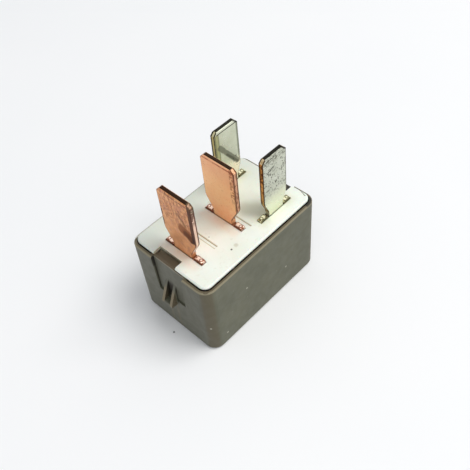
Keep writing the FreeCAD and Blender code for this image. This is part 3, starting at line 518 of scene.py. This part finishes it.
class Blade:
    """A blade's finish and places. Its width runs along one axis, its front faces the other."""

    def __init__(self, name, along, middle, core, foot, foot_half):
        self.finish = Finish(name)
        self.along, self.middle = along, middle
        self.across, self.core = ("X" if along == "Y" else "Y"), core
        self.front = core - BLADE_HALF_THICK
        self.foot, self.foot_half = foot, foot_half

    def point(self, width, depth, height):
        """A place in X, Y and Z, from one across the blade, one through it and a height."""
        flat = {self.along: width, self.across: depth}
        return flat["X"], flat["Y"], height

    def front_face(self):
        """1 on the front face, bevels left out."""
        return self.finish.fade(self.finish.at[self.across], self.front + 0.12, self.front + 0.06)

    def end_face(self):
        """1 on the cut face at the tip."""
        f = self.finish
        return f.both(f.faces("Z", 0.5, 0.6), f.above(f.at["Z"], TIP_Z - 0.12, 0.02))

    def mark(self, start, end, half, soft, wander=None):
        """A stroke between two places on the front face, each given by width and height."""
        ends = [self.point(width, self.front, height) for width, height in (start, end)]
        return self.finish.stroke(*ends, half, soft, wander)

    def edges(self, colour, metal, edge, line, worn):
        """Paints what all blades share: sheared sides, outlines, feet with painted highlights, a
        painted contact shade where the neck enters the base, and the end face painted dark as
        shade.
        """
        f = self.finish
        height = f.at["Z"]
        depth = f.off(f.at[self.across], self.core)
        off_middle = f.off(f.at[self.along], self.middle)

        # The sides, worn in places, and the lines along every edge
        clear_of_feet = f.above(height, BASE_TOP_Z + 0.9, 0.3)
        sides = f.both(f.faces(self.along, 0.6, 0.8), clear_of_feet)
        grain = f.noise(1.0, 4, 0.6, place=f.stretched((1, 1, 0.25)))
        bevels = f.both(f.faces(self.along, 0.3, 0.5), clear_of_feet, f.above(depth, 0.2, 0.04))
        colour = f.coats(
            colour,
            (sides, edge, 1.0),
            (f.both(sides, f.span(grain, worn, worn + 0.12)), line, 0.7),
            (bevels, line, 0.95),
            (f.both(f.outline(0.2), f.patches(0.8, 0.3, 0.5, 0.45, detail=3)), line, 0.85),
        )

        # The feet: dark, with painted highlights as bright rings and crowns, and a dark ring at
        # each outer end
        feet = f.both(
            f.fade(height, BASE_TOP_Z + 0.75, BASE_TOP_Z + 0.5),
            f.near(off_middle, self.foot, self.foot_half, 0.1),
        )
        highlight_rings = f.both(
            feet,
            f.patches(0.5, 0.46, 0.52, detail=2, rough=0.5, twist=1.6),
            f.near(depth, 0, 0.3, 0.1),
        )
        highlight_crown = f.both(
            feet,
            f.near(off_middle, self.foot, self.foot_half - 0.42, 0.14),
            f.near(depth, 0, 0.22, 0.12),
            f.above(height, BASE_TOP_Z + 0.3, 0.08),
        )
        colour = f.coats(
            colour,
            (feet, metal["foot_dark"], 0.9),
            (highlight_rings, metal["foot_highlight"], 0.85),
            (highlight_crown, metal["foot_highlight"], 1.0),
        )
        reach = self.foot + self.foot_half - 0.45
        for width in (self.middle - reach, self.middle + reach):
            centre = self.point(width, self.core, BASE_TOP_Z + 0.42)
            hole = f.maths("SUBTRACT", 1.0, f.spot(centre, 0.15, 0.06))
            ring = f.both(feet, f.spot(centre, 0.3, 0.06), hole)
            colour = f.coats(colour, (ring, metal["foot_dark"], 0.85))

        # Painted shade: a dark contact line where the neck enters the base, and the end face
        # painted dark as shade
        root_shade = f.both(
            f.near(off_middle, 0, self.foot - self.foot_half, 0.1),
            f.fade(height, BASE_TOP_Z + 0.3, BASE_TOP_Z),
        )
        return f.coats(colour, (root_shade, line, 0.6), (self.end_face(), metal["tip"], 0.97))

    def surface(self, satin, end_rough, metallic, end_dull):
        """Sets the gloss. The cut end face is rougher and less metallic."""
        f = self.finish
        end_face = self.end_face()
        f.feed("Roughness", f.maths("ADD", satin, f.maths("MULTIPLY", end_face, end_rough)))
        f.feed("Metallic", f.maths("SUBTRACT", metallic, f.maths("MULTIPLY", end_face, end_dull)))
        f.set(Specular_IOR_Level=BLADE_SPECULAR)


def contact_blade(name, core_x):
    return Blade(name, "Y", BLADE_Y, core_x, foot=2.95, foot_half=0.8)


def coil_blade(name, core_y):
    return Blade(name, "X", COIL_X, core_y, foot=2.615, foot_half=0.74)


def copper_ground(f, clean, dull, fleck):
    """Bare copper, mottled, with small flecks."""
    mottle = f.noise(1.4, 5, 0.6, twist=0.4)
    colour = f.ramp(mottle, 0.3, srgb(*dull), 0.62, srgb(*clean))
    return f.coats(colour, (f.patches(0.3, 0.62, 0.72, rough=0.7), fleck, 0.35))


def copper_surface(blade, colour, metallic):
    f = blade.finish
    f.feed("Base Color", colour)
    blade.surface(f.satin(0.5, 0.34, 0.5), 0.45, metallic, 0.4)
    f.bump(f.noise(0.25, 5, 0.6), 0.012, 0.7)
    return f.material


def load_copper():
    """The stained blade: streaks above, a dark patch below its middle, a burnt near edge."""
    blade = contact_blade("load_copper", LOAD_X)
    f = blade.finish
    y, z = f.at["Y"], f.at["Z"]
    face = blade.front_face()
    colour = copper_ground(f, (240, 178, 128), (212, 146, 100), (128, 78, 54))

    # Streaks, rosy patches and dots
    streaks = f.noise(0.55, 5, 0.7, place=f.stretched((1, 1.6, 0.45), (0.6, 0, 0)))
    dusky = f.both(face, f.above(z, 21.5, 1.5))
    rosy = f.patches(1.1, 0.52, 0.62, rough=0.7, place=f.stretched(shift=(0.4, 0.2, 0)))
    colour = f.coats(
        colour,
        (dusky, (214, 156, 106), 0.5),
        (f.both(dusky, f.span(streaks, 0.46, 0.58)), (166, 96, 70), 0.55),
        (f.both(dusky, f.span(streaks, 0.46, 0.36)), (236, 192, 148), 0.5),
        (f.both(face, rosy), (206, 146, 126), 0.5),
        (f.both(dusky, f.patches(0.42, 0.54, 0.6, rough=0.75)), (124, 78, 48), 0.65),
    )

    # The marks that the photo shows, each in its place
    wander = f.wander(1.6, 5, 0.65, 0.15)
    patch = blade.mark((-1.35, 20.9), (-2.9, 20.3), 0.6, 0.6, wander)
    patch_core = blade.mark((-1.9, 20.5), (-3.0, 19.9), 0.3, 0.5, wander)
    wisp = blade.mark((-0.7, 23.8), (-1.9, 22.2), 0.12, 0.25, wander)
    low_corner = blade.mark((-3.3, 19.6), (-2.6, 19.3), 0.12, 0.2)
    crease = f.both(f.near(z, TIP_Z - 0.55, 0.06, 0.12), f.patches(1.2, 0.4, 0.55, 0.2, detail=3))
    near_band = f.both(f.near(y, -3.2, 0.22, 0.12), f.above(z, 19.5, 0.3))
    far_edge = f.both(
        f.near(y, 2.85, 0.14, 0.08), f.near(z, 21.2, 1.3, 0.8), f.patches(0.5, 0.38, 0.5, detail=3)
    )
    for mask, over, strength in (
        (patch, (138, 74, 36), 0.8),
        (patch_core, (100, 54, 28), 0.85),
        (wisp, (120, 78, 52), 0.6),
        (low_corner, (78, 44, 26), 0.8),
        (crease, (124, 66, 46), 0.75),
        (near_band, (66, 38, 28), 0.9),
        (far_edge, (70, 46, 36), 0.9),
    ):
        colour = f.coats(colour, (f.both(face, mask), over, strength))
    colour = blade.edges(colour, COPPER, edge=(240, 204, 182), line=(84, 46, 34), worn=0.56)

    # The near side, cut bare at the tip's corner and burnt below it
    near_side = f.fade(y, -2.0, -2.4)
    cut = f.both(f.above(z, 25.2, 0.3), f.faces("Y", 0.3, 0.55), near_side)
    burnt = f.both(f.above(z, 23.2, 0.9), f.faces("Y", 0.6, 0.8), near_side)
    colour = f.coats(
        colour,
        (f.both(cut, f.patches(0.35, 0.4, 0.54, rough=0.7)), (92, 82, 62), 0.9),
        (f.both(burnt, f.patches(0.6, 0.36, 0.5, rough=0.6)), (84, 50, 36), 0.85),
    )
    return copper_surface(blade, colour, metallic=0.65)


def common_copper():
    """The cleaner blade: pale in its middle, frayed and charred along its near edge."""
    blade = contact_blade("common_copper", COMMON_X)
    f = blade.finish
    y, z = f.at["Y"], f.at["Z"]
    face = blade.front_face()
    colour = copper_ground(f, (255, 206, 158), (252, 188, 140), (190, 110, 74))
    near_band = f.both(f.near(y, -3.3, 0.1, 0.08), f.above(z, 19.0, 0.3))
    crease = f.both(
        f.near(z, TIP_Z - 0.5, 0.07, 0.12), f.patches(1.5, 0.4, 0.6, 0.4, detail=3)
    )
    frayed = f.both(
        f.near(y, -2.95, 0.2, 0.3), f.above(z, 20.5, 1.0), f.patches(0.5, 0.46, 0.56, rough=0.7)
    )
    for mask, over, strength in (
        (near_band, (104, 56, 32), 0.85),
        (f.above(z, 23.5, 1.5), (238, 178, 140), 0.5),
        (crease, (172, 80, 46), 0.85),
        (f.near(z, 21.5, 1.2, 3.0), (255, 208, 156), 0.5),
        (f.patches(0.28, 0.6, 0.66, rough=0.75), (190, 108, 68), 0.5),
        (frayed, (140, 70, 42), 0.7),
    ):
        colour = f.coats(colour, (f.both(face, mask), over, strength))
    colour = blade.edges(colour, COPPER, edge=(226, 172, 138), line=(96, 52, 32), worn=0.46)
    charred = f.both(
        f.faces("Y", 0.6, 0.8),
        f.fade(y, -2.0, -2.4),
        f.above(z, 17.5, 0.5),
        f.patches(0.5, 0.53, 0.6, rough=0.7),
    )
    colour = f.coats(colour, (charred, (104, 56, 36), 0.75))
    return copper_surface(blade, colour, metallic=0.55)


def tin_ground(f, clean, dull):
    """Tin plate over brass."""
    return f.ramp(f.noise(1.8, 4, 0.6), 0.3, srgb(*dull), 0.65, srgb(*clean))


def tip_corner(blade):
    """The dark cut across the tip's far corner."""
    f = blade.finish
    cut = blade.mark((COIL_X + 1.7, TIP_Z), (COIL_X + 2.4, TIP_Z - 0.7), 0.2, 0.06)
    return f.both(f.near(f.at["Y"], blade.front + 0.1, 0.2, 0.05), cut)


def tin_surface(blade, colour, metallic):
    f = blade.finish
    f.feed("Base Color", colour)
    blade.surface(f.satin(0.6, 0.26, 0.42), 0.5, metallic, 0.65)
    f.bump(f.noise(0.3, 5, 0.6), 0.01, 0.6)
    return f.material


def near_tin():
    """The near coil blade: speckled, with brassy cut sides and one scratch."""
    blade = coil_blade("near_tin", BLADE_Y - COIL_STEP)
    f = blade.finish
    x, z = f.at["X"], f.at["Z"]
    face = blade.front_face()
    colour = tin_ground(f, (206, 209, 193), (190, 193, 175))
    spots = f.both(f.patches(0.3, 0.55, 0.6, detail=3, rough=0.75), f.above(z, 19.0, 1.5))
    crowd = f.both(f.patches(0.5, 0.5, 0.6, rough=0.7), f.above(z, 25.6, 0.5))
    scratch = blade.mark((4.45, 24.15), (5.5, 24.6), 0.07, 0.06)
    # Painted reflection of the pale base, lighter low down
    low = f.fade(z, 20.4, 18.2)
    crease = f.both(
        face, f.near(z, COIL_BEVEL_Z, 0.05, 0.05), f.patches(0.6, 0.4, 0.55, 0.1, detail=3)
    )
    border = f.both(face, f.above(x, 8.16, 0.05))
    colour = f.coats(
        colour,
        (spots, (64, 62, 50), 0.9),
        (crowd, (84, 78, 62), 0.7),
        (f.both(face, scratch), (58, 56, 46), 0.9),
        (low, (232, 235, 208), 0.75),
        (crease, (66, 62, 48), 0.85),
        (border, (120, 122, 104), 0.6),
        (tip_corner(blade), (34, 32, 24), 0.9),
    )
    colour = blade.edges(colour, TIN, edge=(206, 166, 102), line=(58, 40, 20), worn=0.5)
    charred = f.both(
        f.faces("X", 0.6, 0.8), f.above(z, 20.5, 0.8), f.patches(0.9, 0.54, 0.58, rough=0.65)
    )
    colour = f.coats(colour, (charred, (76, 42, 20), 0.85))
    return tin_surface(blade, colour, metallic=0.8)


def far_tin():
    """The far coil blade: plainer, with a bevel painted lit, a side band, a painted shade stripe
    and a painted reflection of the base low down.
    """
    blade = coil_blade("far_tin", BLADE_Y + COIL_STEP)
    f = blade.finish
    x, y, z = (f.at[axis] for axis in "XYZ")
    face = blade.front_face()
    colour = tin_ground(f, (208, 212, 190), (196, 200, 176))
    side_band = f.fade(x, 4.34, 4.26)
    # Painted light on the bevel, which faces the light
    lit_bevel = f.above(z, COIL_BEVEL_Z + 0.03, 0.03)
    crease = f.both(f.near(z, COIL_BEVEL_Z, 0.06, 0.05), f.above(x, 3.9, 0.05))
    border = f.above(x, 7.94, 0.06)
    for mask, over, strength in (
        (side_band, (172, 170, 122), 0.85),
        (f.near(x, 3.68, 0.05, 0.06), (112, 114, 84), 0.7),
        (f.near(x, 4.3, 0.05, 0.06), (112, 114, 84), 0.7),
        (lit_bevel, (228, 231, 210), 0.8),
        (crease, (60, 60, 44), 1.0),
        (border, (128, 132, 114), 0.85),
    ):
        colour = f.coats(colour, (f.both(face, mask), over, strength))
    wander = f.wander(1.2, 3, 0.55, 0.3)
    # Painted reflection of the pale base, lighter low down and less metallic there; then a painted
    # shade stripe with a darker core
    low = f.fade(z, 20.5, 18.5)
    shade = blade.mark((4.3, 23.75), (7.7, 19.0), 0.22, 0.16, wander)
    dusk = blade.mark((5.6, 21.6), (7.7, 18.9), 0.08, 0.14, wander)
    colour = f.coats(
        colour,
        (low, (250, 240, 210), 0.85),
        (f.both(face, shade), (112, 114, 96), 0.8),
        (f.both(face, dusk), (84, 84, 68), 0.7),
        (tip_corner(blade), (34, 32, 24), 0.9),
    )
    colour = blade.edges(colour, TIN, edge=(176, 160, 100), line=(34, 32, 20), worn=0.5)
    back_rim = f.both(
        f.faces("X", 0.3, 0.5), f.above(y, blade.front + 0.54, 0.05), f.above(z, 17.5, 0.5)
    )
    colour = f.coats(colour, (back_rim, (26, 24, 14), 1.0))
    metallic = f.maths("SUBTRACT", 0.8, f.maths("MULTIPLY", low, 0.4))
    return tin_surface(blade, colour, metallic)


# ---------------------------------------------------------------- pieces inside

# The width of one turn as drawn, in millimetres
WIRE_STEP = 0.8796

# Name, light and dark colour, roughness and size of grain, then the pieces that it dresses
PLAIN_METALS = (
    (
        ("plated_iron", (206, 204, 194), (176, 172, 160), 0.34, 0.3),
        ("core", "yoke", "armature"),
    ),
    (
        ("rivet_metal", (206, 184, 128), (182, 158, 104), 0.3, 0.25),
        ("armature_rivet_left", "armature_rivet_right", "spring_rivet_left", "spring_rivet_right"),
    ),
    (
        ("contact_silver", (226, 226, 222), (200, 200, 196), 0.36, 0.15),
        ("fixed_contact", "moving_contact"),
    ),
    (
        ("tinned_wire", (212, 212, 204), (190, 190, 182), 0.3, 0.2),
        ("resistor_lead_near", "resistor_lead_far"),
    ),
)
LEAF_METAL = ("spring_copper", (226, 168, 124), (204, 144, 100), 0.28, 0.2)


def mottled(f, size_mm, dark, light, detail=3):
    mottle = f.noise(size_mm, detail)
    f.feed("Base Color", f.ramp(mottle, NOISE_LOW, srgb(*dark), NOISE_HIGH, srgb(*light)))


def plain_metal(name, light, dark, rough, grain_mm):
    f = Finish(name)
    mottled(f, 2.2, dark, light, detail=4)
    f.feed("Roughness", f.satin(0.7, rough - 0.06, rough + 0.08))
    f.set(Metallic=1.0)
    f.bump(f.noise(grain_mm), 0.008, 0.5)
    return f.material


def dark_plastic():
    f = Finish("bobbin_plastic")
    mottled(f, 2.0, (28, 28, 29), (40, 40, 41))
    f.feed("Roughness", f.satin(0.8, 0.38, 0.52))
    f.bump(f.noise(0.2), 0.01, 0.4)
    return f.material


def wound_wire():
    f = Finish("enamelled_wire")
    turns = f.bands(WIRE_STEP, 0.6)
    f.feed("Base Color", f.ramp(turns, 0.1, srgb(110, 48, 20), 0.8, srgb(190, 96, 48)))
    f.feed("Roughness", f.satin(0.9, 0.25, 0.4))
    f.set(Metallic=0.6, Coat_Weight=0.6, Coat_Roughness=0.15)
    f.bump(turns, 0.04, 0.8)
    return f.material


def lacquer():
    f = Finish("resistor_lacquer")
    mottled(f, 1.5, (96, 128, 140), (118, 150, 160))
    f.feed("Roughness", f.satin(0.6, 0.25, 0.38))
    f.set(Coat_Weight=0.4, Coat_Roughness=0.2)
    f.bump(f.noise(0.4, 3), 0.02, 0.5)
    return f.material


# ---------------------------------------------------------------- dressing the CAD nodes

CASE_EDGE, BASE_EDGE, BLADE_EDGE = 0.14, 0.08, 0.07
SHARP_EDGE = math.radians(35)
LEAF_SMOOTH = math.radians(30)
WELD_DISTANCE = 0.001 * MM


def dress(node, material):
    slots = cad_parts[node].data.materials
    if len(slots) == 0:
        slots.append(material)
    for i in range(len(slots)):
        slots[i] = material


def soften(node, width_mm, steps):
    """Welds a CAD node's triangles and rounds its sharp edges a little."""
    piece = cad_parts[node]
    weld = piece.modifiers.new("weld", "WELD")
    weld.merge_threshold = WELD_DISTANCE
    edge = piece.modifiers.new("edge", "BEVEL")
    edge.width = width_mm * MM
    edge.segments = steps
    edge.limit_method = "ANGLE"
    edge.angle_limit = SHARP_EDGE
    edge.use_clamp_overlap = True
    edge.harden_normals = True


def bending_leaf(material):
    """The leaf spring, fixed to the yoke at one end: a welded, smooth-shaded copy that stands in
    for the CAD node.
    """
    bpy.ops.object.select_all(action="DESELECT")
    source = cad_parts["contact_spring"]
    leaf = source.copy()
    leaf.data = source.data.copy()
    leaf.name = "leaf_spring"
    leaf.data.name = "leaf_spring"
    leaf.parent = None
    leaf.matrix_world = Matrix.Identity(4)
    bpy.context.scene.collection.objects.link(leaf)
    bpy.context.view_layer.objects.active = leaf
    leaf.select_set(True)
    bpy.ops.object.mode_set(mode="EDIT")
    bpy.ops.mesh.select_all(action="SELECT")
    bpy.ops.mesh.remove_doubles(threshold=WELD_DISTANCE)
    bpy.ops.object.mode_set(mode="OBJECT")
    bpy.ops.object.shade_smooth_by_angle(angle=LEAF_SMOOTH)
    leaf.data.materials.clear()
    leaf.data.materials.append(material)
    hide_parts("contact_spring")
    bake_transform(leaf)
    leaf.select_set(False)


# ---------------------------------------------------------------- floor, lamps

FLOOR_SIZE = 3.0
FLOOR_Z = -0.00002
FLOOR_SPECK = (-13.87, -0.33, 0)
LAMP_AIM = Vector((0, 0, 0.01))
ROOM_COLOUR, ROOM_STRENGTH = (0.93, 0.96, 1.0, 1), 0.5
BACKDROP_COLOUR = (1, 1, 1, 1)


def make_floor():
    bpy.ops.object.select_all(action="DESELECT")
    bpy.ops.mesh.primitive_plane_add(size=FLOOR_SIZE, location=(0, 0, FLOOR_Z))
    floor = bpy.context.object
    floor.name = "floor"
    f = Finish("pale_floor")
    plain = f.ramp(f.noise(60, 3), NOISE_LOW, (0.92, 0.925, 0.93), NOISE_HIGH, (0.94, 0.94, 0.94))
    speck = f.spot(FLOOR_SPECK, 0.13, 0.09)
    f.feed("Base Color", f.coats(plain, (speck, (72, 74, 66), 0.85)))
    f.set(Roughness=0.7, Specular_IOR_Level=0.2)
    f.bump(f.noise(1.5), 0.01, 0.2)
    floor.data.materials.append(f.material)


def add_lamp(name, place, size, power, colour):
    """A square area lamp that points at the relay's foot."""
    light = bpy.data.lights.new(name, "AREA")
    light.shape = "RECTANGLE"
    light.size = size
    light.size_y = size
    light.energy = power
    light.color = colour
    lamp = bpy.data.objects.new(name, light)
    lamp.location = place
    lamp.rotation_euler = (LAMP_AIM - Vector(place)).to_track_quat("-Z", "Y").to_euler()
    bpy.context.scene.collection.objects.link(lamp)


def set_room():
    """A dim room lights the relay. The camera, reflections and clear parts see plain white."""
    world = bpy.data.worlds.new("soft_room")
    bpy.context.scene.world = world
    world.use_nodes = True
    nodes = world.node_tree.nodes
    links = world.node_tree.links
    room = nodes["Background"]
    room.inputs["Color"].default_value = ROOM_COLOUR
    room.inputs["Strength"].default_value = ROOM_STRENGTH
    backdrop = nodes.new("ShaderNodeBackground")
    backdrop.inputs["Color"].default_value = BACKDROP_COLOUR
    path = nodes.new("ShaderNodeLightPath")
    seen = path.outputs["Is Camera Ray"]
    for ray in ("Is Glossy Ray", "Is Transmission Ray"):
        either = nodes.new("ShaderNodeMath")
        either.operation = "MAXIMUM"
        links.new(seen, either.inputs[0])
        links.new(path.outputs[ray], either.inputs[1])
        seen = either.outputs[0]
    choose = nodes.new("ShaderNodeMixShader")
    links.new(seen, choose.inputs[0])
    links.new(room.outputs[0], choose.inputs[1])
    links.new(backdrop.outputs[0], choose.inputs[2])
    links.new(choose.outputs[0], nodes["World Output"].inputs["Surface"])


# ---------------------------------------------------------------- making

bpy.context.scene.view_settings.view_transform = "Standard"
set_camera()
make_floor()
set_room()
add_lamp("window", (0.23, -0.27, 0.68), 0.44, 3.65, (1.0, 0.992, 0.975))
add_lamp("fill", (-0.3, -0.34, 0.42), 0.5, 0.35, (0.98, 0.99, 1.0))

dress("case", case_plastic())
dress("base", base_plastic())
dress("load_terminal", load_copper())
dress("common_terminal", common_copper())
dress("coil_terminal_near", near_tin())
dress("coil_terminal_far", far_tin())
dress("bobbin", dark_plastic())
dress("coil_winding", wound_wire())
dress("resistor_body", lacquer())
for looks, pieces in PLAIN_METALS:
    metal = plain_metal(*looks)
    for node in pieces:
        dress(node, metal)
bending_leaf(plain_metal(*LEAF_METAL))

soften("case", CASE_EDGE, 3)
soften("base", BASE_EDGE, 3)
for node in ("load_terminal", "common_terminal", "coil_terminal_near", "coil_terminal_far"):
    soften(node, BLADE_EDGE, 2)
